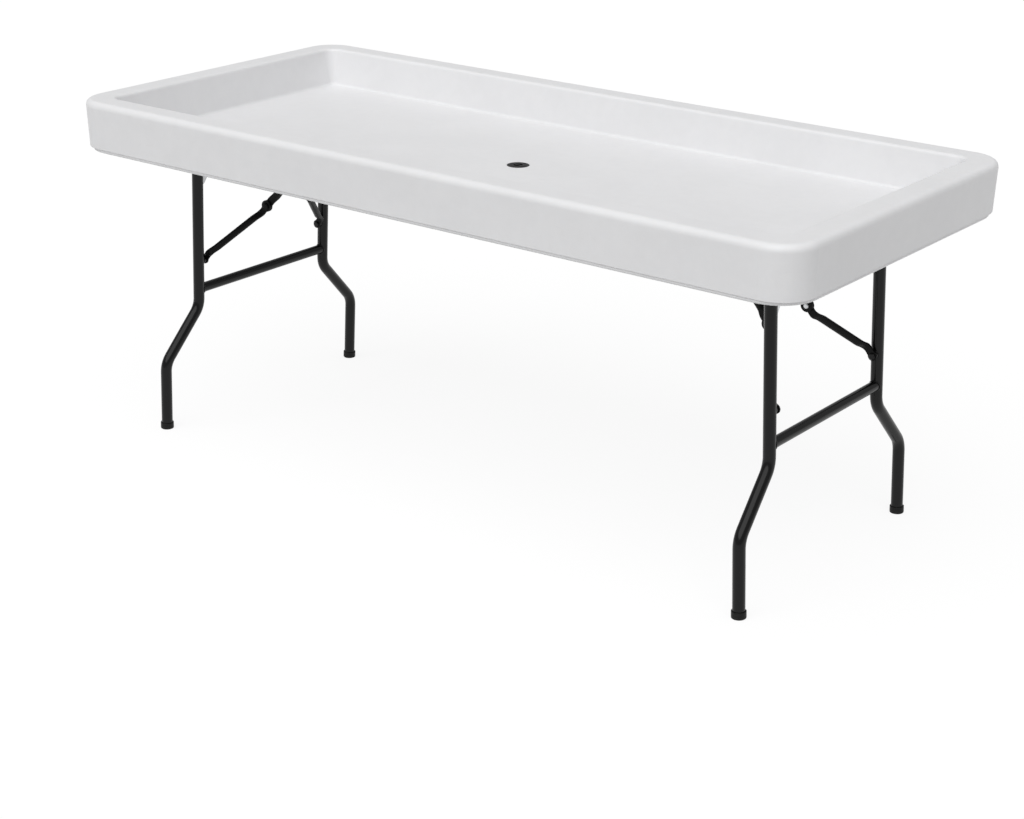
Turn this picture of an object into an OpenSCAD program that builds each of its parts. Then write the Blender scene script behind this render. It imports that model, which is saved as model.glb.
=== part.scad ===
// Cooler table: a shallow hollow-walled ice tray with a drain, on two folding wishbone leg frames.
// X runs along the tray, the front long side is at -Y, and the ground is at Z = 0.
// Each end has a leg frame that turns in saddles under the tray, and two toggle braces.

/* [Tray] */
// Overall length of the tray
tray_length = 1836; // [1700:2:2000]
// Overall width of the tray
tray_width = 838; // [770:2:900]
// Height of the rim above the ground
table_height = 776; // [740:2:820]
// Depth of the outer skirt below the rim
skirt_height = 105; // [100:1:112]
// Depth of the narrower band below the skirt
band_height = 8; // [6:1:12]
// Plan radius of the outer corners
corner_radius = 75; // [60:1:90]
// Inward lean of the skirt from rim to bottom
skirt_draft = 4; // [1:0.5:4]
// Rounding of the rim's outer edge
rim_round = 14; // [8:1:18]
// Rounding of the skirt's bottom edge
skirt_round = 1.5; // [1:0.25:1.5]
// Distance of the band inside the rim's outer edge
band_inset = 6; // [6:0.5:16]
// Plan radius of the band's corners
band_corner = 80; // [60:1:100]
// Rounding of the band's bottom edge
band_round = 5; // [2:0.5:6]
// Width of the flat rim
rim_width = 60; // [50:1:75]
// Depth of the basin below the rim
basin_depth = 84; // [74:1:86]
// Inward lean of the basin wall from rim to floor
basin_draft = 21; // [12:1:24]
// Plan radius of the basin's corners at the rim
basin_corner = 30; // [29:1:40]
// Rounding where the basin wall meets the rim
lip_round = 8; // [5:0.5:10]
// Rounding where the basin wall meets the floor
floor_round = 8; // [4:1:10]
// Thickness of the moulded wall
tray_wall = 4; // [3:0.25:5]
// Chamfer inside the hollow wall at the outer edges
hollow_chamfer = 8; // [6:0.5:10]
// Chamfer inside the hollow wall at the lip
lip_chamfer = 3; // [1:0.5:5]

/* [Mounting pads] */
// Depth of the pads that carry the hinges, below the underside
pad_height = 11.6; // [8:0.2:16]
// Width of a pad along the tray
pad_width = 84; // [80:1:100]
// Length of a pad across the tray
pad_length = 478; // [470:2:520]
// Rounding of the pads' upright edges
pad_round = 12; // [4:1:20]
// Diameter of the solid post round each screw
boss_d = 16; // [12:0.5:20]

/* [Drain] */
// Diameter of the drain flange
flange_d = 48; // [44:0.5:56]
// Thickness of the drain flange
flange_t = 3.2; // [2.8:0.1:4]
// Thickness of the seal under the flange
seal_t = 1.1; // [0.6:0.1:2]
// Depth of the recess in the floor that takes the flange
recess_depth = 4; // [3:0.25:5]
// Diameter of the threaded barrel
barrel_d = 36; // [35:0.5:38]
// Bore of the barrel
drain_bore = 26; // [22:0.5:28]
// Reach of the barrel below the underside
barrel_drop = 12; // [11:0.5:20]
// Height of the slope from the barrel's bore down to the spigot's
barrel_floor = 3; // [2:0.25:5]
// Diameter of the hose spigot
spigot_d = 25; // [20:0.5:28]
// Bore of the hose spigot
spigot_bore = 19; // [12:0.5:20]
// Length of the hose spigot below the barrel
spigot_length = 26; // [18:1:40]
// Diameter of the drain nut
nut_d = 54; // [50:0.5:60]
// Height of the drain nut
nut_height = 9.5; // [7:0.5:10.5]
// Radius of the grooves between the nut's lobes
nut_groove = 5; // [3:0.5:6]
// Number of finger lobes round the nut
nut_lobes = 8; // [6:1:12]
// Diameter of the plug's head
plug_head_d = 33; // [31:0.5:34]
// Thickness of the plug's head
plug_head_t = 1.8; // [1.4:0.1:2]
// Length of the plug's stem
plug_stem = 14; // [10:0.5:20]
// Wall of the plug's hollow stem
plug_wall = 3; // [2:0.25:4]
// Width of the finger bar across the plug
plug_bar = 5; // [4:0.5:7]

/* [Leg frames] */
// Distance of each hinge from the end of the tray
hinge_inset = 169; // [150:1:200]
// Outside diameter of the leg and hinge tubes
leg_d = 25.4; // [24:0.2:27]
// Wall of the steel tubes
tube_wall = 1.2; // [1:0.1:1.6]
// Outward lean of the open legs, in degrees
leg_lean = 2.85; // [1:0.05:4]
// Distance between the leg axes at the hinge
leg_spacing = 420; // [400:2:426]
// Distance between the leg axes at the feet
foot_spacing = 633.2; // [590:0.2:660]
// Straight run of a leg from the hinge axis to the upper bend
leg_straight = 345; // [335:1:380]
// Centre-line radius of the leg bends
bend_radius = 50; // [40:1:60]
// Angle of the leg bends, in degrees
bend_angle = 43; // [38:1:50]
// Distance of the crossbar below the hinge axis
crossbar_drop = 323; // [318:1:330]
// Diameter of the crossbar
crossbar_d = 22.2; // [19:0.2:23]
// Length of the hinge tube
hinge_length = 448; // [446:1:462]
// Reach of a gusset along the hinge tube, from the leg's surface
gusset_reach = 43; // [30:1:55]
// Height of a gusset below the hinge tube
gusset_height = 62; // [50:1:90]
// Width left at a gusset's two narrow ends
gusset_tip = 6; // [4:0.5:10]
// Thickness of a gusset
gusset_t = 3; // [2:0.25:4]
// Diameter of a foot cap
cap_d = 30; // [29:0.2:34]
// Height of a foot cap
cap_height = 15; // [12:0.5:24]
// Rounding of a foot cap's bottom edge
cap_round = 3; // [2:0.5:5]
// Thickness of a foot cap under the tube
cap_floor = 4; // [3:0.5:6]

/* [Hinge saddles] */
// Distance of a saddle from the middle of the hinge tube
saddle_y = 105; // [85:1:120]
// Width of a saddle along the hinge tube
saddle_width = 30; // [24:1:36]
// Thickness of the saddle strap
strap_t = 2.5; // [2:0.1:3]
// Length of a saddle's two flanges, tip to tip
saddle_length = 76; // [70:1:80]
// Distance between the two screws of a saddle
saddle_screws_apart = 54; // [50:1:58]

/* [Braces] */
// Distance of the lower brace pivot from the hinge axis, along the leg
pivot_drop = 256; // [250:0.2:260]
// Distance of the upper brace pivot from the hinge, along the tray
anchor_reach = 206.1; // [202:0.1:212]
// Drop of the upper brace pivot below the underside
anchor_drop = 14; // [13.5:0.5:16]
// Length of the lower link between pivots
lower_length = 150; // [146:0.5:154]
// Height of the open knee above the line between the pivots
over_centre = 4; // [2:0.5:6]
// Turn of a leg frame from open to folded, in degrees
fold_angle = 87; // [80:1:87]
// Distance of the upper links from the middle of the table
link_y = 72; // [60:1:80]
// Thickness of the flattened link ends
link_t = 4; // [3:0.25:5]
// Diameter of the lower link tube
lower_d = 16; // [14:0.5:16.5]
// Diameter of the upper link tube
upper_d = 19; // [16:0.5:19]
// Diameter of the knee eyes
knee_eye_d = 27; // [24:0.5:30]
// Diameter of the lower link's eye at the leg
lug_eye_d = 20; // [18:0.5:22]
// Diameter of the upper link's eye at the anchor
anchor_eye_d = 19.5; // [18:0.5:20]
// Flat length of a link end past its pivot
flat_length = 16; // [15:0.5:20]
// Length over which a link end opens from flat to round
flare_length = 20; // [16:1:26]
// Diameter of the lug on the leg
lug_d = 16; // [14:0.5:18]
// Height of the lug off the leg's surface
lug_height = 5.4; // [4:0.2:8]
// Diameter of the brace rivets
rivet_d = 8; // [6:0.25:9]
// Diameter of a brace rivet's head
rivet_head_d = 14; // [12:0.5:16]
// Height of a rivet's head
rivet_head_t = 3.5; // [2:0.25:4]
// Diameter of the bright rivet head at the knee
knee_head_d = 11; // [10:0.5:14]
// Diameter of the collar at the knee
collar_d = 16; // [14:0.5:20]
// Height of the collar at the knee
collar_t = 4.5; // [3:0.25:6]

/* [Brace anchors] */
// Width of an anchor's base along the tray
anchor_width = 50; // [40:1:60]
// Length of an anchor's base across the tray
anchor_length = 230; // [220:2:260]
// Thickness of an anchor's base
anchor_t = 3; // [2:0.25:3.5]
// Rounding of the base's corners
anchor_round = 8; // [4:0.5:12]
// Thickness of an anchor's ears
ear_t = 2.5; // [2:0.25:3.5]
// Diameter of an anchor's ears
ear_d = 22; // [20:0.5:26]
// Distance of the inner anchor screws from the middle
anchor_screw_in = 44; // [34:1:46]
// Distance of the outer anchor screws from the middle
anchor_screw_out = 100; // [95:1:104]

/* [Screws] */
// Diameter of a screw's shank
screw_d = 4.8; // [4:0.1:5.5]
// Length of a screw below its head
screw_length = 17; // [12:0.5:19]
// Diameter of a screw's head
screw_head_d = 10; // [9:0.25:11]
// Height of a screw's head
screw_head_t = 2.8; // [2:0.1:3]
// Length of a screw's tapered tip
screw_tip = 3; // [2:0.25:4]
// Length of the cross slots in a screw's head
slot_length = 5; // [4:0.25:6]
// Width of the cross slots
slot_width = 1; // [0.8:0.1:1.4]
// Depth of the cross slots
slot_depth = 1.5; // [1:0.1:1.8]

/* [Fits] */
// Radial clearance of a pin or tube in its bore
running_fit = 0.05; // [0.02:0.01:0.1]
// Side gap between pieces that turn on each other
side_gap = 0.3; // [0.2:0.05:0.5]
// Gap between the upper and lower eyes at the knee
knee_gap = 0.5; // [0.4:0.05:0.8]
// Rounding of small moulded edges
edge_round = 1; // [0.5:0.1:1.2]
// Gap at a welded seam
weld_gap = 0.15; // [0.1:0.05:0.3]
// Radial clearance of a screw or barrel in its hole
hole_gap = 0.3; // [0.1:0.05:0.5]

/* [Hidden] */
$fn = 96;

// Ends and sides of the table, as signs along X and Y
left = -1;
right = 1;
front = -1;
back = 1;

// Overcut past a face, so that a cut goes clean through
cut = 1;

// Tray levels
half_length = tray_length / 2;
half_width = tray_width / 2;
skirt_z = table_height - skirt_height;
underside_z = skirt_z - band_height;
floor_z = table_height - basin_depth;
pad_z = underside_z - pad_height;

// Drain levels, from the recess in the floor
recess_d = flange_d + 2 * hole_gap;
flange_top_z = floor_z - recess_depth + seal_t + flange_t;
barrel_end_z = underside_z - barrel_drop;
plug_seat_z = flange_top_z - plug_head_t;

// Hinge axis, and the leg measured along its own lean
hinge_x = half_length - hinge_inset;
leg_r = leg_d / 2;
leg_half = leg_spacing / 2;
foot_half = foot_spacing / 2;
hinge_z = pad_z - side_gap - leg_r;
leg_length = hinge_z / cos(leg_lean);
both_walls = 2 * tube_wall;
bend_lap = 0.5;
bend_draw = 0.1;
bend_slant = (foot_half - leg_half - 2 * bend_radius * (1 - cos(bend_angle))) / sin(bend_angle);
bend_height = 2 * bend_radius * sin(bend_angle) + bend_slant * cos(bend_angle);

// Brace pivots as [x, z] at the right end: on the leg, at the anchor and at the open knee
hinge_pivot = [hinge_x, hinge_z];
leg_pivot = hinge_pivot + pivot_drop * [sin(leg_lean), -cos(leg_lean)];
anchor_pivot = [hinge_x - anchor_reach, underside_z - anchor_drop];
brace_line = (anchor_pivot - leg_pivot) / norm(anchor_pivot - leg_pivot);
brace_up = [brace_line.y, -brace_line.x];
knee_pivot = leg_pivot + sqrt(lower_length ^ 2 - over_centre ^ 2) * brace_line + over_centre * brace_up;
upper_length = norm(knee_pivot - anchor_pivot);

// Side positions of the flat link ends and of what holds them
lug_face_y = leg_half - leg_r - lug_height;
lug_link_y = lug_face_y - side_gap - link_t / 2;
lower_y = link_y + link_t + knee_gap;
upper_tube_y = link_y + link_t / 2 - upper_d / 2 - side_gap;
rivet_bore_d = rivet_d + 2 * running_fit;

// Places of the anchor's ears: each pair takes one link end between them
ear_offset = link_t / 2 + side_gap + ear_t / 2;
ear_places = [for (side = [front, back], k = [-1, 1]) side * link_y + k * ear_offset];

// Folded knee, and how far each link turns for each degree of the leg frame
folded_leg_pivot = hinge_pivot + turned(leg_pivot - hinge_pivot, -fold_angle);
folded_span = norm(anchor_pivot - folded_leg_pivot);
folded_line = (anchor_pivot - folded_leg_pivot) / folded_span;
folded_along = (lower_length ^ 2 - upper_length ^ 2 + folded_span ^ 2) / (2 * folded_span);
folded_aside = sqrt(max(0, lower_length ^ 2 - folded_along ^ 2));
folded_knee = folded_leg_pivot + folded_along * folded_line
    + folded_aside * [-folded_line.y, folded_line.x];
lower_turn = heading(folded_leg_pivot, folded_knee) - heading(leg_pivot, knee_pivot);
upper_turn = heading(anchor_pivot, folded_knee) - heading(anchor_pivot, knee_pivot);
echo(leg_pivot = leg_pivot, anchor_pivot = anchor_pivot, knee_pivot = knee_pivot);
echo(folded_leg_pivot = folded_leg_pivot, folded_knee = folded_knee);
echo(lower_ratio = -(lower_turn + fold_angle) / fold_angle, upper_ratio = -upper_turn / fold_angle);

// A point turned about the origin, anticlockwise as seen with X right and Z up
function turned(p, a) = [p.x * cos(a) - p.y * sin(a), p.x * sin(a) + p.y * cos(a)];

// Direction from one point to another, in degrees
function heading(p, q) = atan2(q.y - p.y, q.x - p.x);

// Unit vector from one point toward another
function toward(p, q) = (q - p) / norm(q - p);

// Half of the angle at v between its neighbours a and b
function half_corner(a, v, b) = acos(toward(v, a) * toward(v, b)) / 2;

// The points that stand for one corner: itself, or the two ends of its rounding
function corner_ends(a, v, b, r) = r == 0 ? [v] :
    let (t = r / tan(half_corner(a, v, b))) [v + t * toward(v, a), v + t * toward(v, b)];

// Centre of a corner's rounding
function corner_centre(a, v, b, r) =
    let (inward = toward(v, a) + toward(v, b)) v + inward / norm(inward) * r / sin(half_corner(a, v, b));

// The piece of a corner's rounding disc that lies between its two ends
module corner_sector(a, v, b, r) {
    ends = corner_ends(a, v, b, r);
    centre = corner_centre(a, v, b, r);
    intersection() {
        translate(centre) circle(r = r);
        polygon([centre, ends[0], v, ends[1]]);
    }
}

// A closed outline of [x, y, rounding] points, listed anticlockwise, with true arcs at its corners
module rounded_outline(points) {
    n = len(points);
    corners = [for (i = [0:n - 1]) [
        [points[(i + n - 1) % n].x, points[(i + n - 1) % n].y],
        [points[i].x, points[i].y],
        [points[(i + 1) % n].x, points[(i + 1) % n].y],
        points[i].z
    ]];
    function turn(c) = cross(c[1] - c[0], c[2] - c[1]);
    module sectors(sign) {
        for (c = corners) if (c[3] > 0 && turn(c) * sign > 0) corner_sector(c[0], c[1], c[2], c[3]);
    }
    difference() {
        union() {
            polygon([for (c = corners) each corner_ends(c[0], c[1], c[2], c[3])]);
            sectors(1);
        }
        sectors(-1);
    }
}

// A rounded rectangle about the origin
module rounded_rectangle(length, width, r) {
    rounded_outline([
        [-length / 2, -width / 2, r],
        [length / 2, -width / 2, r],
        [length / 2, width / 2, r],
        [-length / 2, width / 2, r]
    ]);
}

// A solid with a rounded-rectangle plan. Its wall is a list of [inset, z, rounding] from bottom to top
module pan(half_x, half_y, corner, wall) {
    run_x = half_x - corner;
    run_y = half_y - corner;
    module section(reach) {
        rounded_outline([
            [-reach, wall[0].y, 0],
            each [for (p = wall) [corner - p.x, p.y, p.z]],
            [-reach, wall[len(wall) - 1].y, 0]
        ]);
    }
    module edge_section() {
        intersection() {
            section(run_y);
            translate([0, wall[0].y - cut])
                square([half_y, wall[len(wall) - 1].y - wall[0].y + 2 * cut]);
        }
    }
    translate([-run_x, 0, 0]) rotate([90, 0, 90]) linear_extrude(2 * run_x) {
        translate([run_y, 0]) section(run_y);
        mirror([1, 0]) translate([run_y, 0]) section(run_y);
    }
    for (end = [left, right]) scale_to(end, back) {
        translate([run_x, run_y, 0]) rotate([90, 0, 0]) linear_extrude(2 * run_y) edge_section();
        for (side = [front, back]) scale_to(right, side) {
            translate([run_x, run_y, 0]) rotate_extrude(angle = 90) edge_section();
        }
    }
}

// Mirrors what is drawn for the back right corner to any end and side
module scale_to(end, side) {
    mirror([end < 0 ? 1 : 0, 0, 0]) mirror([0, side < 0 ? 1 : 0, 0]) children();
}

// Places a child at each screw of the saddles or of the anchors
module at_saddle_screws() {
    for (end = [left, right], side = [front, back], k = [-1, 1]) {
        translate([end * hinge_x + k * saddle_screws_apart / 2, side * saddle_y, pad_z]) children();
    }
}

module at_anchor_screws() {
    for (end = [left, right], side = [front, back], y = [anchor_screw_in, anchor_screw_out]) {
        translate([end * anchor_pivot.x, side * y, underside_z]) children();
    }
}

// Inset of the basin wall at a height
function basin_inset(z) = basin_draft * (table_height - z) / basin_depth;

// Outside of the tray moulding: skirt, band and hinge pads
module tray_outside() {
    slope = skirt_draft / skirt_height;
    overhang = rim_round * (sqrt(1 + slope ^ 2) + slope - 1);
    pan(half_length, half_width, corner_radius, [
        [skirt_draft - overhang, skirt_z, skirt_round],
        [-overhang, table_height, rim_round]
    ]);
    pan(half_length - band_inset, half_width - band_inset, band_corner, [
        [0, underside_z, band_round],
        [0, skirt_z + tray_wall, 0]
    ]);
    for (end = [left, right]) {
        translate([end * hinge_x, 0, pad_z])
            linear_extrude(pad_height + tray_wall) rounded_rectangle(pad_width, pad_length, pad_round);
    }
}

// The open basin, with its lip and floor roundings
module basin_space() {
    pan(half_length - rim_width, half_width - rim_width, basin_corner, [
        [basin_draft, floor_z, min(floor_round, basin_corner - basin_draft - cut)],
        [0, table_height, lip_round],
        [-2 * lip_round, table_height, 0],
        [-2 * lip_round, table_height + lip_round, 0]
    ]);
}

// The closed hollow between the outer and inner walls
module hollow_space() {
    both_tray_walls = 2 * tray_wall;
    pan(half_length - tray_wall, half_width - tray_wall, corner_radius - tray_wall, [
        [skirt_draft + hollow_chamfer, skirt_z + tray_wall, 0],
        [skirt_draft, skirt_z + tray_wall + hollow_chamfer, 0],
        [0, table_height - tray_wall - hollow_chamfer, 0],
        [hollow_chamfer, table_height - tray_wall, 0]
    ]);
    hollow_inset = band_inset + tray_wall;
    pan(half_length - hollow_inset, half_width - hollow_inset, band_corner - tray_wall, [
        [0, underside_z + tray_wall, 0],
        [0, skirt_z + tray_wall + cut, 0]
    ]);
    for (end = [left, right]) {
        translate([end * hinge_x, 0, pad_z + tray_wall]) linear_extrude(pad_height + cut)
            rounded_rectangle(pad_width - both_tray_walls, pad_length - both_tray_walls, pad_round / 2);
    }
}

// What stays solid in the hollow: the basin's own wall, the screw posts and the drain's sleeve
module hollow_keepers() {
    lip_z = table_height - tray_wall - lip_chamfer;
    pan(half_length - rim_width + tray_wall, half_width - rim_width + tray_wall, basin_corner + tray_wall, [
        [basin_inset(floor_z - tray_wall), floor_z - tray_wall, 0],
        [basin_inset(lip_z), lip_z, 0],
        [-lip_chamfer, lip_z + lip_chamfer, 0],
        [-lip_chamfer, table_height + cut, 0]
    ]);
    at_saddle_screws() cylinder(d = boss_d, h = floor_z - pad_z);
    at_anchor_screws() cylinder(d = boss_d, h = floor_z - underside_z);
    translate([0, 0, underside_z]) cylinder(d = recess_d + 2 * tray_wall, h = floor_z - underside_z);
}

module tray() {
    color("whitesmoke") difference() {
        tray_outside();
        basin_space();
        difference() {
            hollow_space();
            hollow_keepers();
        }
        translate([0, 0, floor_z - recess_depth]) cylinder(d = recess_d, h = recess_depth + cut);
        translate([0, 0, underside_z - cut]) cylinder(d = barrel_d + 2 * hole_gap, h = basin_depth);
        at_saddle_screws() screw_hole(screw_length - strap_t);
        at_anchor_screws() screw_hole(screw_length - anchor_t);
    }
}

// A blind hole for a screw, up into a post
module screw_hole(depth) {
    translate([0, 0, -cut]) cylinder(d = screw_d + 2 * running_fit, h = depth + hole_gap + cut);
}

module drain_body() {
    color("#1c1c1d") translate([0, 0, barrel_end_z - spigot_length]) rotate_extrude() {
        height = flange_top_z - barrel_end_z + spigot_length;
        rounded_outline([
            [spigot_bore / 2, 0, 0],
            [spigot_d / 2, 0, edge_round],
            [spigot_d / 2, spigot_length, 0],
            [barrel_d / 2, spigot_length, edge_round],
            [barrel_d / 2, height - flange_t, 0],
            [flange_d / 2, height - flange_t, 0],
            [flange_d / 2, height, edge_round],
            [plug_head_d / 2 + running_fit, height, 0],
            [plug_head_d / 2 + running_fit, height - plug_head_t, 0],
            [drain_bore / 2, height - plug_head_t, 0],
            [drain_bore / 2, spigot_length + barrel_floor, edge_round],
            [spigot_bore / 2, spigot_length, edge_round]
        ]);
    }
}

module drain_seal() {
    color("#2b2b2b") translate([0, 0, floor_z - recess_depth]) difference() {
        cylinder(d = flange_d - 1, h = seal_t);
        translate([0, 0, -cut]) cylinder(d = barrel_d + hole_gap, h = seal_t + 2 * cut);
    }
}

module drain_nut() {
    color("#1c1c1d") translate([0, 0, underside_z - nut_height]) difference() {
        cylinder(d = nut_d, h = nut_height);
        translate([0, 0, -cut]) cylinder(d = barrel_d + 2 * running_fit, h = nut_height + 2 * cut);
        for (i = [0:nut_lobes - 1]) rotate(i * 360 / nut_lobes) {
            translate([(nut_d + nut_groove) / 2, 0, -cut])
                cylinder(r = nut_groove, h = nut_height + 2 * cut);
        }
    }
}

// A lift-out plug, hollow from above, with a bar across for a finger
module drain_plug() {
    stem_r = drain_bore / 2 - 2 * running_fit;
    color("#202021") translate([0, 0, plug_seat_z]) {
        rotate_extrude() rounded_outline([
            [0, -plug_stem, 0],
            [stem_r, -plug_stem, edge_round],
            [stem_r, side_gap, 0],
            [plug_head_d / 2 - running_fit, side_gap, 0],
            [plug_head_d / 2 - running_fit, plug_head_t + side_gap, edge_round / 2],
            [stem_r - plug_wall, plug_head_t + side_gap, edge_round / 2],
            [stem_r - plug_wall, plug_wall - plug_stem, edge_round],
            [0, plug_wall - plug_stem, 0]
        ]);
        intersection() {
            translate([-stem_r, -plug_bar / 2, plug_head_t + side_gap - plug_bar])
                cube([2 * stem_r, plug_bar, plug_bar]);
            translate([0, 0, -plug_stem]) cylinder(r = stem_r - plug_wall / 2, h = 2 * plug_stem);
        }
    }
}

// The leg frame's own axes: origin on the hinge axis, legs hanging along -Z
module in_leg_frame(end, side) {
    scale_to(end, side) translate([hinge_x, 0, hinge_z]) rotate([0, -leg_lean, 0]) children();
}

// Puts a child drawn along Z on the Y axis, going toward +Y
module along_y() {
    rotate([-90, 0, 0]) children();
}

// One leg's centre line as a rod: straight, out, slanting, back and straight to the foot.
// The straight runs lap into the bends, which draw the tube in by a hair.
module leg_rod(d, over) {
    slant_y = leg_half + bend_radius * (1 - cos(bend_angle));
    slant_z = -leg_straight - bend_radius * sin(bend_angle);
    foot_run = leg_length - cap_floor - leg_straight - bend_height;
    translate([0, leg_half, -leg_straight - bend_lap]) cylinder(d = d, h = leg_straight + bend_lap + over);
    translate([0, leg_half, -leg_straight]) leg_bend(d - bend_draw);
    translate([0, slant_y, slant_z]) rotate([bend_angle, 0, 0]) translate([0, 0, -bend_slant - bend_lap])
        cylinder(d = d, h = bend_slant + 2 * bend_lap);
    translate([0, foot_half, -leg_straight - bend_height])
        mirror([0, 1, 0]) mirror([0, 0, 1]) leg_bend(d - bend_draw);
    translate([0, foot_half, cap_floor - leg_length - over]) cylinder(d = d, h = foot_run + bend_lap + over);
}

// The upper bend, which starts straight down at the origin and leans toward +Y
module leg_bend(d) {
    translate([0, bend_radius, 0]) rotate([0, 90, 0]) rotate(-90)
        rotate_extrude(angle = bend_angle) translate([bend_radius, 0]) circle(d = d);
}

module leg(end, side) {
    color("#262627") in_leg_frame(end, side) difference() {
        leg_rod(leg_d, 0);
        leg_rod(leg_d - both_walls, cut);
        translate([0, leg_half - leg_d, 0]) along_y() cylinder(r = leg_r + weld_gap, h = 2 * leg_d);
    }
}

module hinge_tube(end) {
    color("#262627") in_leg_frame(end, back) translate([0, -hinge_length / 2, 0]) along_y() difference() {
        cylinder(d = leg_d, h = hinge_length);
        translate([0, 0, -cut]) cylinder(d = leg_d - both_walls, h = hinge_length + 2 * cut);
    }
}

module crossbar(end) {
    color("#262627") in_leg_frame(end, back) difference() {
        translate([0, -leg_half, -crossbar_drop]) along_y() difference() {
            cylinder(d = crossbar_d, h = leg_spacing);
            translate([0, 0, -cut]) cylinder(d = crossbar_d - both_walls, h = leg_spacing + 2 * cut);
        }
        for (side = [front, back]) {
            translate([0, side * leg_half, -crossbar_drop - leg_d])
                cylinder(r = leg_r + weld_gap, h = 2 * leg_d);
        }
    }
}

module gusset(end, side) {
    seam = leg_r + weld_gap;
    color("#c9cacb") in_leg_frame(end, side) translate([-gusset_t / 2, 0, 0])
        rotate([90, 0, 90]) linear_extrude(gusset_t) rounded_outline([
            [leg_half - seam, -seam - gusset_height, 0],
            [leg_half - seam, -seam, 0],
            [leg_half - seam - gusset_reach, -seam, 0],
            [leg_half - seam - gusset_reach, -seam - gusset_tip, gusset_tip / 2],
            [leg_half - seam - gusset_tip, -seam - gusset_height, gusset_tip / 2]
        ]);
}

module brace_lug(end, side) {
    color("#262627") in_leg_frame(end, side) difference() {
        translate([0, lug_face_y, -pivot_drop]) along_y() difference() {
            cylinder(d = lug_d, h = leg_half - lug_face_y);
            translate([0, 0, -cut]) cylinder(d = rivet_bore_d, h = leg_half);
        }
        translate([0, leg_half, -pivot_drop - leg_d]) cylinder(r = leg_r + weld_gap, h = 2 * leg_d);
    }
}

// A domed rivet head standing on the XY plane
module rivet_head(d, h) {
    rotate_extrude() rounded_outline([
        [0, 0, 0],
        [d / 2, 0, 0],
        [d / 2, h, min(0.8 * h, d / 5)],
        [0, h, 0]
    ]);
}

module lug_rivets(end) {
    head_y = lug_link_y - link_t / 2 - side_gap;
    color("#3a3a3b") for (side = [front, back]) {
        in_leg_frame(end, side) translate([0, head_y, -pivot_drop]) {
            rotate([90, 0, 0]) rivet_head(rivet_head_d, rivet_head_t);
            along_y() cylinder(d = rivet_d, h = leg_half - leg_r - head_y);
        }
    }
}

// A soft cap pushed over the tube end and cut flat where it stands
module foot_cap(end, side) {
    color("#19191a") difference() {
        in_leg_frame(end, side) translate([0, foot_half, -leg_length]) rotate_extrude() rounded_outline([
            [0, -cut, 0],
            [cap_d / 2, -cut, cap_round],
            [cap_d / 2, cap_height, edge_round],
            [leg_r + running_fit, cap_height, 0],
            [leg_r + running_fit, cap_floor, 0],
            [0, cap_floor, 0]
        ]);
        scale_to(end, side) translate([hinge_x, foot_half - cap_d, -cap_d])
            cube([2 * cap_d, 2 * cap_d, cap_d]);
    }
}

// Puts a child on the line from pivot p to pivot q: X along the link, Y across the table
module on_link(end, side, p, q) {
    scale_to(end, side) translate([p.x, 0, p.y]) rotate([0, -heading(p, q), 0]) children();
}

// A flat end at the origin: an eye and a tab of one width along X
module flat_end(eye_d, tab_d) {
    translate([0, -link_t / 2, 0]) {
        along_y() cylinder(d = eye_d, h = link_t);
        translate([0, 0, -tab_d / 2]) cube([flat_length, link_t, tab_d]);
    }
}

// A link of round tube from y_a at pivot a to y_b at pivot b, flattened at both ends
module link(length, d, eye_a, eye_b, y_a, y_b, tube_y_a, tube_y_b) {
    start = flat_length + flare_length;
    tube = [length - 2 * start, tube_y_b - tube_y_a];
    bearing = atan2(tube.y, tube.x);
    module flare(y, tube_y, lean) {
        hull() {
            translate([flat_length - cut, y - link_t / 2, -d / 2]) cube([cut, link_t, d]);
            translate([start, tube_y, 0]) rotate([0, 90, lean])
                cylinder(d = d - side_gap, h = cut, $fn = 32);
        }
    }
    difference() {
        union() {
            translate([0, y_a, 0]) flat_end(eye_a, d);
            translate([length, y_b, 0]) mirror([1, 0, 0]) flat_end(eye_b, d);
            flare(y_a, tube_y_a, bearing);
            translate([length, 0, 0]) mirror([1, 0, 0]) flare(y_b, tube_y_b, -bearing);
            translate([start, tube_y_a, 0]) rotate([0, 90, bearing]) translate([0, 0, cut / 2])
                cylinder(d = d, h = norm(tube) - cut);
        }
        translate([start, tube_y_a, 0]) rotate([0, 90, bearing]) translate([0, 0, 2 * cut])
            cylinder(d = d - both_walls, h = norm(tube) - 4 * cut);
        for (p = [[0, y_a], [length, y_b]]) {
            translate([p.x, p.y - link_t, 0]) along_y() cylinder(d = rivet_bore_d, h = 2 * link_t);
        }
    }
}

module lower_link(end, side) {
    run = lower_length - 2 * flat_length;
    slope = (lower_y - lug_link_y) / run;
    color("#262627") on_link(end, side, leg_pivot, knee_pivot) link(
        lower_length, lower_d, lug_eye_d, knee_eye_d, lug_link_y, lower_y,
        lug_link_y + slope * flare_length, lower_y - slope * flare_length
    );
}

module upper_link(end, side) {
    color("#262627") on_link(end, side, anchor_pivot, knee_pivot) link(
        upper_length, upper_d, anchor_eye_d, knee_eye_d, link_y, link_y, upper_tube_y, upper_tube_y
    );
}

module knee_collar(end, side) {
    color("#1f1f20") scale_to(end, side)
        translate([knee_pivot.x, lower_y + link_t / 2, knee_pivot.y]) along_y()
            rivet_head(collar_d, collar_t);
}

module knee_rivet(end, side) {
    inner_y = link_y - link_t / 2;
    color("#d4d5d6") scale_to(end, side) translate([knee_pivot.x, inner_y, knee_pivot.y]) {
        rotate([90, 0, 0]) rivet_head(knee_head_d, rivet_head_t);
        along_y() cylinder(d = rivet_d, h = link_t + knee_gap - side_gap);
    }
}

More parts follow.
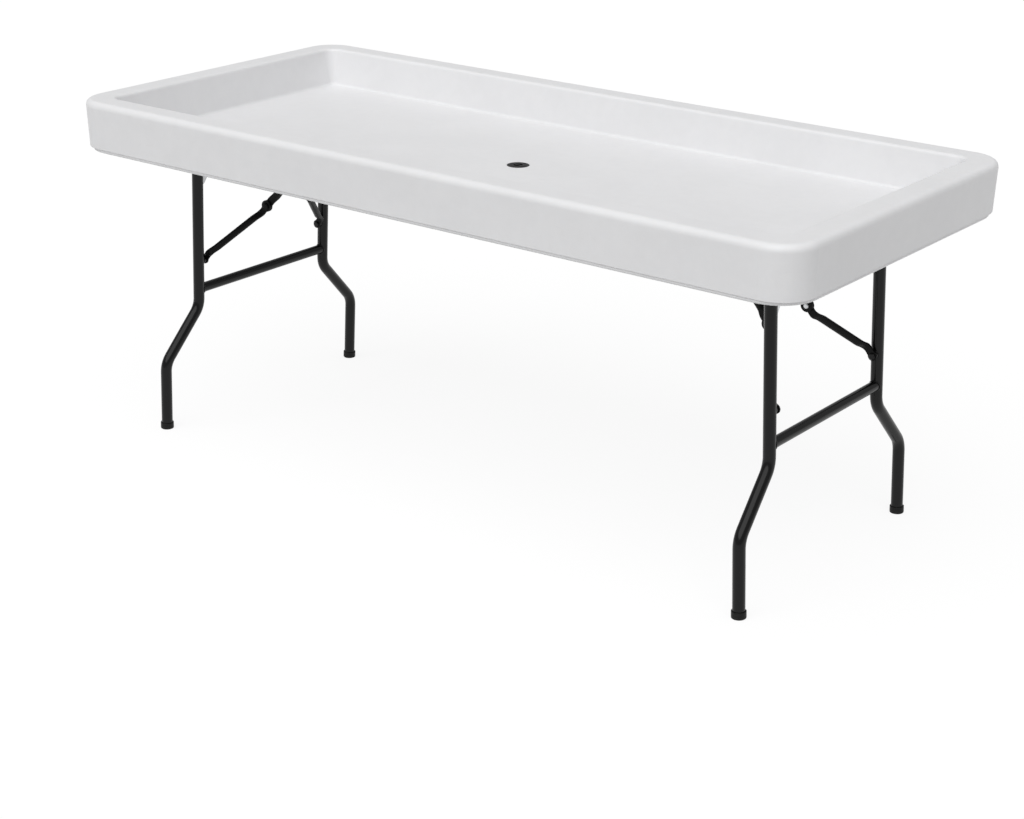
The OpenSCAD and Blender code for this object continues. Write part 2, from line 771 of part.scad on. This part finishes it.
// A strap round the hinge tube, screwed up against the pad through two flanges
module saddle(end, side) {
    bore_r = leg_r + running_fit;
    top = pad_z - hinge_z;
    color("#b9babb") scale_to(end, side) translate([hinge_x, saddle_y, hinge_z]) difference() {
        translate([0, saddle_width / 2, 0]) rotate([90, 0, 0]) linear_extrude(saddle_width) difference() {
            union() {
                circle(r = bore_r + strap_t);
                translate([-bore_r - strap_t, 0]) square([2 * (bore_r + strap_t), top]);
                translate([-saddle_length / 2, top - strap_t]) square([saddle_length, strap_t]);
            }
            circle(r = bore_r);
            translate([-bore_r, 0]) square([2 * bore_r, top + cut]);
            translate([-saddle_length, top]) square([2 * saddle_length, 2 * strap_t + leg_d]);
        }
        for (k = [-1, 1]) {
            translate([k * saddle_screws_apart / 2, 0, 0])
                cylinder(d = screw_d + 2 * running_fit, h = top + cut);
        }
    }
}

// A pan-head screw: the shank goes up from the XY plane, the head hangs below it
module screw() {
    cylinder(d = screw_d, h = screw_length - screw_tip);
    translate([0, 0, screw_length - screw_tip]) cylinder(d1 = screw_d, d2 = screw_d / 4, h = screw_tip);
    difference() {
        mirror([0, 0, 1]) rivet_head(screw_head_d, screw_head_t);
        for (a = [0, 90]) {
            rotate(a) translate([-slot_length / 2, -slot_width / 2, -screw_head_t - cut])
                cube([slot_length, slot_width, slot_depth + cut]);
        }
    }
}

module saddle_screws() {
    color("#c4c5c6") at_saddle_screws() translate([0, 0, -strap_t]) screw();
}

module anchor_screws() {
    color("#c4c5c6") at_anchor_screws() translate([0, 0, -anchor_t]) screw();
}

module anchor(end) {
    color("#b9babb") scale_to(end, back) difference() {
        union() {
            translate([anchor_pivot.x, 0, underside_z - anchor_t])
                linear_extrude(anchor_t) rounded_rectangle(anchor_width, anchor_length, anchor_round);
            for (y = ear_places) {
                translate([anchor_pivot.x, y - ear_t / 2, anchor_pivot.y]) {
                    along_y() cylinder(d = ear_d, h = ear_t);
                    translate([-ear_d / 2, 0, 0]) cube([ear_d, ear_t, anchor_drop - anchor_t / 2]);
                }
            }
        }
        translate([anchor_pivot.x, -anchor_length / 2, anchor_pivot.y])
            along_y() cylinder(d = rivet_bore_d, h = anchor_length);
        for (side = [front, back], y = [anchor_screw_in, anchor_screw_out]) {
            translate([anchor_pivot.x, side * y, underside_z - anchor_t - cut])
                cylinder(d = screw_d + 2 * running_fit, h = anchor_t + 2 * cut);
        }
    }
}

// Four rivets, each through a pair of ears and the link end between them
module anchor_rivets() {
    reach = ear_offset + ear_t / 2;
    color("#c4c5c6") for (end = [left, right], side = [front, back]) {
        scale_to(end, side) translate([anchor_pivot.x, link_y, anchor_pivot.y]) {
            translate([0, -reach, 0]) rotate([90, 0, 0]) rivet_head(rivet_head_d, rivet_head_t);
            translate([0, reach, 0]) along_y() rivet_head(rivet_head_d, rivet_head_t);
            translate([0, -reach, 0]) along_y() cylinder(d = rivet_d, h = 2 * reach);
        }
    }
}

tray();
drain_body();
drain_seal();
drain_nut();
drain_plug();
leg(left, front);  // leg_front_left
leg(left, back);  // leg_back_left
leg(right, front);  // leg_front_right
leg(right, back);  // leg_back_right
crossbar(left);  // crossbar_left
crossbar(right);  // crossbar_right
hinge_tube(left);  // hinge_tube_left
hinge_tube(right);  // hinge_tube_right
gusset(left, front);  // gusset_front_left
gusset(left, back);  // gusset_back_left
gusset(right, front);  // gusset_front_right
gusset(right, back);  // gusset_back_right
brace_lug(left, front);  // brace_lug_front_left
brace_lug(left, back);  // brace_lug_back_left
brace_lug(right, front);  // brace_lug_front_right
brace_lug(right, back);  // brace_lug_back_right
lug_rivets(left);  // lug_rivets_left
lug_rivets(right);  // lug_rivets_right
foot_cap(left, front);  // foot_cap_front_left
foot_cap(left, back);  // foot_cap_back_left
foot_cap(right, front);  // foot_cap_front_right
foot_cap(right, back);  // foot_cap_back_right
lower_link(left, front);  // lower_link_front_left
lower_link(left, back);  // lower_link_back_left
lower_link(right, front);  // lower_link_front_right
lower_link(right, back);  // lower_link_back_right
knee_collar(left, front);  // knee_collar_front_left
knee_collar(left, back);  // knee_collar_back_left
knee_collar(right, front);  // knee_collar_front_right
knee_collar(right, back);  // knee_collar_back_right
upper_link(left, front);  // upper_link_front_left
upper_link(left, back);  // upper_link_back_left
upper_link(right, front);  // upper_link_front_right
upper_link(right, back);  // upper_link_back_right
knee_rivet(left, front);  // knee_rivet_front_left
knee_rivet(left, back);  // knee_rivet_back_left
knee_rivet(right, front);  // knee_rivet_front_right
knee_rivet(right, back);  // knee_rivet_back_right
saddle(left, front);  // saddle_front_left
saddle(left, back);  // saddle_back_left
saddle(right, front);  // saddle_front_right
saddle(right, back);  // saddle_back_right
saddle_screws();
anchor(left);  // anchor_left
anchor(right);  // anchor_right
anchor_rivets();
anchor_screws();
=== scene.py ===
import bmesh
import bpy
from math import atan2, cos, pi, radians, sin, sqrt, tan
from mathutils import Matrix, Vector


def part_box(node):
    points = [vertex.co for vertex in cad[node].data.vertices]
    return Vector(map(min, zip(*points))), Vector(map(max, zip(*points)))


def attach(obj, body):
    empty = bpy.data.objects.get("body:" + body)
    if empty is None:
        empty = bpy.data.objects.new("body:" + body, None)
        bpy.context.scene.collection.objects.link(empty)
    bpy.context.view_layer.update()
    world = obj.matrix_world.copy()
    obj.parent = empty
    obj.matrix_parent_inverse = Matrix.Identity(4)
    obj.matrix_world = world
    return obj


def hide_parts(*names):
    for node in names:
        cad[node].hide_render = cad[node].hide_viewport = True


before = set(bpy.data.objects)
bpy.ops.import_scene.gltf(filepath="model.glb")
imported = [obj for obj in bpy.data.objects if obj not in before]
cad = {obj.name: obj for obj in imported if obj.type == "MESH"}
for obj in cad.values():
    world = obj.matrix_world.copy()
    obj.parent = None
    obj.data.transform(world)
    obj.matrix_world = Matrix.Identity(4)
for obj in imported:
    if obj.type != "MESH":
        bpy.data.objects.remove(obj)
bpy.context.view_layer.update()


# Camera. It stands off the right front corner and looks a little down on the table, with a long
# lens and no shift.
sight = bpy.data.cameras.new("camera")
sight.sensor_width = 36
sight.lens = 72.4907
sight.clip_end = 100
camera = bpy.data.objects.new("camera", sight)
bpy.context.scene.collection.objects.link(camera)
standpoint = Vector((2.5799, -3.3685, 1.7810))
round_to_right, looking_down, tilted = radians(37.5643), radians(21.1587), radians(0.4799)
aim = (
    Matrix.Rotation(round_to_right, 4, "Z")
    @ Matrix.Rotation(pi / 2 - looking_down, 4, "X")
    @ Matrix.Rotation(tilted, 4, "Z")
)
camera.matrix_world = Matrix.Translation(standpoint) @ aim
bpy.context.scene.camera = camera


# Floor and light. A plain white floor, lit from within as a light table is, that throws little up
# on the table, in an even room with one very wide soft light from above and in front.
def deselect():
    bpy.ops.object.select_all(action="DESELECT")


deselect()
bpy.ops.mesh.primitive_plane_add(size=60, location=(0, 0, 0))
floor = bpy.context.object
floor.name = "floor"
floor_paint = bpy.data.materials.new("floor_paint")
floor_paint.use_nodes = True
floor_shader = floor_paint.node_tree.nodes["Principled BSDF"]
floor_shader.inputs["Base Color"].default_value = (0.15, 0.15, 0.15, 1)
floor_shader.inputs["Roughness"].default_value = 1.0
floor_shader.inputs["Specular IOR Level"].default_value = 0.0
floor_shader.inputs["Emission Color"].default_value = (1, 1, 1, 1)
floor_shader.inputs["Emission Strength"].default_value = 0.86
floor.data.materials.append(floor_paint)
floor.visible_diffuse = False

room = bpy.data.worlds.new("room")
room.use_nodes = True
room.node_tree.nodes["Background"].inputs["Color"].default_value = (1, 1, 1, 1)
room.node_tree.nodes["Background"].inputs["Strength"].default_value = 0.5
bpy.context.scene.world = room
bpy.context.scene.view_settings.view_transform = "Standard"

light = bpy.data.lights.new("wide_light", "SUN")
light.energy = 1.95
light.angle = radians(70)
holder = bpy.data.objects.new("wide_light", light)
bpy.context.scene.collection.objects.link(holder)
from_light = Vector((-0.125, 0.558, -0.82))
holder.matrix_world = from_light.to_track_quat("-Z", "Y").to_matrix().to_4x4()


# Tray. One hollow moulding of white polyethylene, turned out of a warm mould: satin, a little
# uneven over its broad faces, with a fine pebble from the mould and light scuffs from use.
class Socket:
    """An output of a shader node. Arithmetic on it adds Math nodes to its material."""

    def __init__(self, tree, output=None):
        self.tree = tree
        self.output = output

    def node(self, kind, settings=None, inputs=None, output=0):
        """Adds a node: first its settings, then what goes into its sockets, values or links."""
        made = self.tree.nodes.new("ShaderNode" + kind)
        for name, value in (settings or {}).items():
            if name == "stops":
                ramp = made.color_ramp
                while len(ramp.elements) < len(value):
                    ramp.elements.new(0.5)
                for element, (place, colour) in zip(ramp.elements, value):
                    element.position = place
                    element.color = (*colour, 1)
            else:
                setattr(made, name, value)
        for name, value in (inputs or {}).items():
            if isinstance(value, Socket):
                self.tree.links.new(value.output, made.inputs[name])
            else:
                made.inputs[name].default_value = value
        return Socket(self.tree, made.outputs[output])

    def maths(self, operation, *values, clamp=False):
        settings = {"operation": operation, "use_clamp": clamp}
        return self.node("Math", settings, dict(enumerate(values)))

    def __add__(self, other):
        return self.maths("ADD", self, other)

    def __sub__(self, other):
        return self.maths("SUBTRACT", self, other)

    def __rsub__(self, other):
        return self.maths("SUBTRACT", other, self)

    def __mul__(self, other):
        return self.maths("MULTIPLY", self, other)

    def __truediv__(self, other):
        return self.maths("DIVIDE", self, other)

    __radd__ = __add__
    __rmul__ = __mul__

    def between(self, low, high):
        """0 below low, 1 above high, and a smooth step from one to the other."""
        settings = {"interpolation_type": "SMOOTHSTEP"}
        return self.node("MapRange", settings, {"Value": self, "From Min": low, "From Max": high})

    def noise(self, scale, detail=2.0, roughness=0.5, stretch=None):
        """Noise with a scale in lumps for each metre, stretched along the axes if asked."""
        place = self
        if stretch:
            place = self.node("VectorMath", {"operation": "MULTIPLY"}, {0: self, 1: stretch})
        return place.node(
            "TexNoise", {}, {"Vector": place, "Scale": scale, "Detail": detail, "Roughness": roughness}
        )

    def mix(self, low, high):
        """The colour low where this is 0, and high where it is 1."""
        colours = {"Factor": self}
        colours[6], colours[7] = [c if isinstance(c, Socket) else (*c, 1) for c in (low, high)]
        return self.node("Mix", {"data_type": "RGBA"}, colours, 2)

    def bump(self, height, strength=1.0, under=None):
        """Bump from a height in metres."""
        inputs = {"Height": self * height, "Strength": strength, "Distance": 1.0}
        if under:
            inputs["Normal"] = under
        return self.node("Bump", {}, inputs)


def finish(name, recipe):
    """A material whose recipe turns object coordinates into the sockets of one shader."""
    material = bpy.data.materials.new(name)
    material.use_nodes = True
    tree = material.node_tree
    tree.nodes.clear()
    place = Socket(tree).node("TexCoord", output=3)
    shader = place.node("BsdfPrincipled", {}, recipe(place))
    end = tree.nodes.new("ShaderNodeOutputMaterial")
    tree.links.new(shader.output, end.inputs["Surface"])
    return material


def white_plastic(place):
    swell = place.noise(7, 1)
    ripple = place.noise(42, 2)
    pebble = place.noise(1300, 2, 0.6)
    scuff = place.noise(26, 6, 0.72, (1, 1, 3)).between(0.6, 0.72)
    cloud = swell * 0.55 + ripple * 0.45
    shade = cloud.between(0.3, 0.7).mix((0.745, 0.745, 0.755), (0.77, 0.77, 0.78))
    ground = ripple.bump(0.00016)
    return {
        "Base Color": (scuff * 0.35).mix(shade, (0.71, 0.71, 0.72)),
        "Roughness": 0.36 + cloud * 0.1 + scuff * 0.08,
        "Normal": pebble.bump(0.00002, under=ground),
        "Subsurface Weight": 0.08,
        "Subsurface Radius": (0.012, 0.011, 0.01),
        "Subsurface Scale": 0.6,
        "IOR": 1.5,
    }


tray_plastic = finish("white_plastic", white_plastic)


def paint(node, material):
    """Gives a solid its material in place of the flat colour that it came with."""
    mesh = cad[node].data
    mesh.materials.clear()
    mesh.materials.append(material)


paint("tray", tray_plastic)


# Drain. A black moulded body, its ring nut and the lift-out plug, all of one satin plastic, and a
# soft seal between the flange and the recess in the floor of the tray.
def black_plastic(place):
    haze = place.noise(55, 4, 0.6)
    grain = place.noise(1900, 2, 0.6)
    wear = place.noise(240, 5, 0.7).between(0.58, 0.72)
    return {
        "Base Color": (wear * 0.4).mix((0.005, 0.005, 0.0055), (0.02, 0.02, 0.021)),
        "Roughness": 0.4 + haze * 0.16 + wear * 0.1,
        "Normal": grain.bump(0.000015),
        "Specular IOR Level": 0.22,
    }


drain_plastic = finish("black_plastic", black_plastic)


def soft_rubber(place):
    dust = place.noise(70, 6, 0.7).between(0.5, 0.8)
    grain = place.noise(1500, 3, 0.7)
    return {
        "Base Color": dust.mix((0.011, 0.011, 0.011), (0.04, 0.039, 0.037)),
        "Roughness": 0.62 + dust * 0.2,
        "Normal": grain.bump(0.00003),
    }


rubber = finish("soft_rubber", soft_rubber)
for node in ["drain_body", "drain_nut", "drain_plug"]:
    paint(node, drain_plastic)
paint("drain_seal", rubber)


# Leg frames. Bent steel legs under a hinge tube, with a crossbar and lugs welded between and on
# them, coated with black powder that leaves a fine orange peel. The gussets are zinc-plated plate.
def black_powder(place):
    peel = place.noise(620, 2, 0.55)
    drift = place.noise(16, 3)
    rub = place.noise(90, 6, 0.75).between(0.62, 0.74)
    return {
        "Base Color": (rub * 0.5).mix((0.0022, 0.0022, 0.0024), (0.018, 0.018, 0.019)),
        "Roughness": 0.13 + drift * 0.1 + rub * 0.2,
        "Normal": peel.bump(0.00003),
        "Specular IOR Level": 0.25,
    }


powder = finish("black_powder", black_powder)


def zinc(place):
    streak = place.noise(60, 4, 0.6, (1, 1, 14))
    bloom = place.noise(35, 5, 0.65).between(0.45, 0.75)
    grain = place.noise(1400, 2)
    return {
        "Base Color": bloom.mix((0.62, 0.63, 0.64), (0.5, 0.505, 0.51)),
        "Metallic": 1.0,
        "Roughness": 0.3 + streak * 0.15 + bloom * 0.14,
        "Normal": grain.bump(0.00002),
    }


zinc_plate = finish("zinc_plate", zinc)
ends = ["left", "right"]
corners = [f"{side}_{end}" for end in ends for side in ("front", "back")]
for corner in corners:
    paint("leg_" + corner, powder)
    paint("brace_lug_" + corner, powder)
    paint("gusset_" + corner, zinc_plate)
for end in ends:
    for kind in ["crossbar_", "hinge_tube_", "lug_rivets_"]:
        paint(kind + end, powder)


def seam_bead(points, size):
    """A run of weld along a seam, as a bevelled curve with the ripples of the torch."""
    line = bpy.data.curves.new("seam", "CURVE")
    line.dimensions = "3D"
    line.bevel_depth = size
    line.bevel_resolution = 3
    line.use_fill_caps = True
    spline = line.splines.new("POLY")
    spline.points.add(len(points) - 1)
    for i, (point, place) in enumerate(zip(spline.points, points)):
        point.co = (*place, 1)
        point.radius = 1 + 0.16 * sin(i * 2.1) + 0.05 * sin(i * 0.73)
    bead = bpy.data.objects.new("seam", line)
    bpy.context.scene.collection.objects.link(bead)
    deselect()
    bead.select_set(True)
    bpy.context.view_layer.objects.active = bead
    bpy.ops.object.convert(target="MESH")
    return bpy.context.object


hinge_x, hinge_z = 0.749, 0.6384
leg_y, bar_z, lug_z = 0.210, -0.323, -0.256
tube_r, bar_r, lug_r = 0.0127, 0.0111, 0.008
leg_bead_r, bar_bead_r, lug_bead_r = 0.0016, 0.0014, 0.0011
lean = radians(2.85)


def seam_under_hinge(y_sign):
    """Round the top of a leg, open on the side that turns up against the tray."""
    off_leg, off_hinge = 1.04, 1.1
    end, points = radians(138), []
    for i in range(56):
        a = -end + 2 * end * i / 55
        below = sqrt(max((tube_r * off_hinge) ** 2 - (tube_r * cos(a)) ** 2, 0))
        along = leg_y - tube_r * off_leg * sin(a)
        points.append((tube_r * off_leg * cos(a), y_sign * along, -below))
    return points


def seam_on_leg(y_sign, radius, z):
    """Round the end of a crossbar or a lug, where it meets the inner side of a leg."""
    off_leg, off_bar, points = 1.03, 1.05, []
    for i in range(72):
        a = 2 * pi * i / 71
        along = leg_y - sqrt((tube_r * off_leg) ** 2 - (radius * cos(a)) ** 2)
        points.append((radius * off_bar * cos(a), y_sign * along, z + radius * off_bar * sin(a)))
    return points


def frame_beads(x_sign):
    """The seams of one leg frame, laid in the frame's own axes and then set at the hinge."""
    beads = []
    for y_sign in (-1, 1):
        beads.append(seam_bead(seam_under_hinge(y_sign), leg_bead_r))
        beads.append(seam_bead(seam_on_leg(y_sign, bar_r, bar_z), bar_bead_r))
        beads.append(seam_bead(seam_on_leg(y_sign, lug_r, lug_z), lug_bead_r))
    deselect()
    for bead in beads:
        bead.select_set(True)
    bpy.context.view_layer.objects.active = beads[0]
    bpy.ops.object.join()
    welds = bpy.context.object
    hinge = Matrix.Translation((hinge_x, 0, hinge_z)) @ Matrix.Rotation(-lean, 4, "Y")
    welds.data.transform(Matrix.Diagonal((x_sign, 1, 1, 1)) @ hinge)
    if x_sign < 0:
        welds.data.flip_normals()
    return welds


for end, x_sign in (("left", -1), ("right", 1)):
    welds = frame_beads(x_sign)
    welds.name = "weld_beads_" + end
    welds.data.materials.append(powder)
    deselect()
    welds.select_set(True)
    bpy.ops.object.shade_smooth()
    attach(welds, "leg_frame_" + end)


# Foot caps. Soft black rubber pushed over the tube ends, worn grey where they stand.
def worn_rubber(place):
    height = place.node("SeparateXYZ", {}, {"Vector": place}, 2)
    near_floor = 1 - height.between(0.0, 0.007)
    dust = place.noise(160, 6, 0.72).between(0.42, 0.72)
    grain = place.noise(1500, 3, 0.7)
    wear = (near_floor * 0.8 + 0.2) * dust
    return {
        "Base Color": wear.mix((0.004, 0.004, 0.004), (0.03, 0.029, 0.0275)),
        "Roughness": 0.5 + wear * 0.3,
        "Specular IOR Level": 0.2,
        "Normal": grain.bump(0.00004),
    }


foot_rubber = finish("worn_rubber", worn_rubber)
for corner in corners:
    paint("foot_cap_" + corner, foot_rubber)


# Braces. Two links at each leg, of steel tube pressed flat at both ends and painted a duller black,
# the lower one slanting in from its leg to the knee. The flats take the rivets of lug, knee and
# anchor, and the eyes at the knee are wide.
def dull_black(place):
    peel = place.noise(560, 2, 0.55)
    drift = place.noise(22, 3)
    rub = place.noise(110, 6, 0.75).between(0.62, 0.74)
    return {
        "Base Color": (rub * 0.5).mix((0.0018, 0.0018, 0.002), (0.016, 0.016, 0.017)),
        "Roughness": 0.42 + drift * 0.14 + rub * 0.12,
        "Normal": peel.bump(0.00003),
        "Specular IOR Level": 0.14,
    }


brace_paint = finish("dull_black", dull_black)
flat_half, flat_length, flare_length = 0.002, 0.016, 0.020


def pressed_end(mesh_object, direction, stations):
    """Draws the tube's end cap out through stations of [x, y, half thickness, half width]."""
    bpy.ops.object.mode_set(mode="EDIT")
    bpy.ops.mesh.select_mode(type="FACE")
    bpy.ops.mesh.select_all(action="DESELECT")
    shape = bmesh.from_edit_mesh(mesh_object.data)
    cap = max(shape.faces, key=lambda f: (f.calc_center_median().x * direction))
    cap.select_set(True)
    shape.faces.active = cap
    bmesh.update_edit_mesh(mesh_object.data)
    x, y, _, width = stations[0]
    for to_x, to_y, half_t, half_w in stations[1:]:
        bpy.ops.mesh.select_mode(type="FACE")
        bpy.ops.mesh.extrude_region_move(
            TRANSFORM_OT_translate={"value": (to_x - x, to_y - y, 0)}
        )
        shape = bmesh.from_edit_mesh(mesh_object.data)
        ring = [v.index for v in shape.verts if v.select]
        bpy.ops.mesh.select_mode(type="VERT")
        for side in (-1, 1):
            shape = bmesh.from_edit_mesh(mesh_object.data)
            shape.verts.ensure_lookup_table()
            for v in shape.verts:
                v.select_set(False)
            for i in ring:
                v = shape.verts[i]
                v.select_set((v.co.y - to_y) * side > half_t)
            shape.select_flush_mode()
            bmesh.update_edit_mesh(mesh_object.data)
            if any(v.select for v in shape.verts):
                bpy.ops.transform.resize(
                    value=(1, 0, 1), center_override=(to_x, to_y + side * half_t, 0)
                )
        shape = bmesh.from_edit_mesh(mesh_object.data)
        shape.verts.ensure_lookup_table()
        for i in ring:
            shape.verts[i].select_set(True)
        shape.select_flush_mode()
        bmesh.update_edit_mesh(mesh_object.data)
        bpy.ops.mesh.select_mode(type="FACE")
        reach = max(abs(shape.verts[i].co.z) for i in ring)
        bpy.ops.transform.resize(value=(1, 1, half_w / reach), center_override=(to_x, to_y, 0))
        x, y = to_x, to_y
    bpy.ops.object.mode_set(mode="OBJECT")


def pressed_link(name, length, tube_d, ends):
    """A link along X from the origin. Each end is (eye diameter, y of the flat, y of the tube).

    A flare narrows the tube to its flat, and a flat's outer face stays clear of the other link."""
    start = flat_length + flare_length
    (eye_a, y_a, tube_a), (eye_b, y_b, tube_b) = ends
    slope = atan2(tube_b - tube_a, length - 2 * start)
    deselect()
    bpy.ops.mesh.primitive_cylinder_add(
        vertices=56, radius=tube_d / 2, depth=length - 2 * start,
        location=(length / 2, (tube_a + tube_b) / 2, 0), rotation=(0, pi / 2, 0),
    )
    link = bpy.context.object
    link.name = name
    bpy.ops.object.transform_apply(location=True, rotation=True, scale=True)
    bpy.ops.object.mode_set(mode="EDIT")
    bpy.ops.mesh.select_all(action="SELECT")
    bpy.ops.transform.resize(
        value=(1, 1 / cos(slope), 1), center_override=(length / 2, (tube_a + tube_b) / 2, 0)
    )
    bpy.ops.object.mode_set(mode="OBJECT")
    shape = bmesh.new()
    shape.from_mesh(link.data)
    for v in shape.verts:
        v.co.y += (v.co.x - length / 2) * (tube_b - tube_a) / (length - 2 * start)
    shape.to_mesh(link.data)
    shape.free()
    for direction, eye, y, tube_y in ((-1, eye_a, y_a, tube_a), (1, eye_b, y_b, tube_b)):
        pivot = 0 if direction < 0 else length
        eye_r, tab = eye / 2, tube_d / 2
        stations = [(pivot - direction * start, tube_y, tube_d / 2 / cos(slope), tube_d / 2)]
        flare_steps, eye_steps = 7, 12
        for k in range(1, flare_steps + 1):
            t = k / flare_steps
            ease = t * t * (3 - 2 * t)
            x = start - flare_length * t
            line_y = tube_y + direction * tan(slope) * flare_length * t
            half = tube_d / 2 / cos(slope) * (1 - ease) + flat_half * ease
            centre = line_y + (y - line_y) * ease
            if tube_y > y:
                centre = max(centre, y - flat_half + half)
            else:
                centre = min(centre, y + flat_half - half)
            stations.append((
                pivot - direction * x, centre, half, tube_d / 2 * (1 - ease) + tab * ease
            ))
        touch = sqrt(max(eye_r ** 2 - tab ** 2, 0))
        first = atan2(tab, touch)
        for k in range(eye_steps + 1):
            angle = first + (pi - first) * k / (eye_steps + 0.25)
            stations.append((
                pivot - direction * eye_r * cos(angle), y, flat_half, eye_r * sin(angle)
            ))
        pressed_end(link, direction, stations)
    edges = link.modifiers.new("soft_edges", "BEVEL")
    edges.width = 0.0007
    edges.segments = 2
    edges.limit_method = "ANGLE"
    edges.angle_limit = radians(50)
    deselect()
    link.select_set(True)
    bpy.context.view_layer.objects.active = link
    bpy.ops.object.modifier_apply(modifier="soft_edges")
    bpy.ops.object.shade_smooth_by_angle(angle=radians(32))
    return link


def set_in_place(model, node, start, toward, mirrored):
    """A copy of a model link with its own mesh, laid from one pivot to the other."""
    copy = model.copy()
    copy.data = model.data.copy()
    copy.name = node.replace("link", "brace")
    bpy.context.scene.collection.objects.link(copy)
    heading = atan2(toward.z - start.z, toward.x - start.x)
    lay = Matrix.Translation((start.x, 0, start.z)) @ Matrix.Rotation(-heading, 4, "Y")
    copy.data.transform(Matrix.Diagonal((*mirrored, 1, 1)) @ lay)
    if mirrored[0] * mirrored[1] < 0:
        copy.data.flip_normals()
    copy.data.materials.append(brace_paint)
    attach(copy, node.replace("lower_link", "brace_lower").replace("upper_link", "brace_upper"))
    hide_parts(node)


def middle(node):
    low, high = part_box(node)
    return (low + high) / 2


rivet_head_r = 0.007
knee = middle("knee_rivet_back_right")
leg_pivot = middle("brace_lug_back_right")
anchor_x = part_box("anchor_rivets")[1].x - rivet_head_r
anchor_pivot = middle("anchor_rivets") + Vector((anchor_x, 0, 0))
lower_reach = Vector((knee.x - leg_pivot.x, 0, knee.z - leg_pivot.z)).length
upper_reach = Vector((knee.x - anchor_pivot.x, 0, knee.z - anchor_pivot.z)).length
lower_d, upper_d = 0.016, 0.019
lug_eye, knee_eye, anchor_eye = 0.020, 0.027, 0.0195
lug_flat_y, lower_knee_y, upper_flat_y, upper_tube_y = 0.1896, 0.0765, 0.072, 0.0642
tube_y_by_lug, tube_y_by_knee = 0.1704, 0.0957
lower_model = pressed_link("lower_model", lower_reach, lower_d, (
    (lug_eye, lug_flat_y, tube_y_by_lug),
    (knee_eye, lower_knee_y, tube_y_by_knee),
))
upper_model = pressed_link("upper_model", upper_reach, upper_d, (
    (anchor_eye, upper_flat_y, upper_tube_y),
    (knee_eye, upper_flat_y, upper_tube_y),
))
for end, x_sign in (("left", -1), ("right", 1)):
    for side, y_sign in (("front", -1), ("back", 1)):
        corner = f"{side}_{end}"
        set_in_place(lower_model, "lower_link_" + corner, leg_pivot, knee, (x_sign, y_sign))
        set_in_place(upper_model, "upper_link_" + corner, anchor_pivot, knee, (x_sign, y_sign))
        paint("knee_collar_" + corner, brace_paint)
        paint("knee_rivet_" + corner, zinc_plate)
for model in (lower_model, upper_model):
    bpy.data.objects.remove(model)


# Saddles, anchors and their screws. Zinc-plated steel under the tray, screwed into its pads.
for corner in corners:
    paint("saddle_" + corner, zinc_plate)
for node in ["saddle_screws", "anchor_left", "anchor_right", "anchor_rivets", "anchor_screws"]:
    paint(node, zinc_plate)
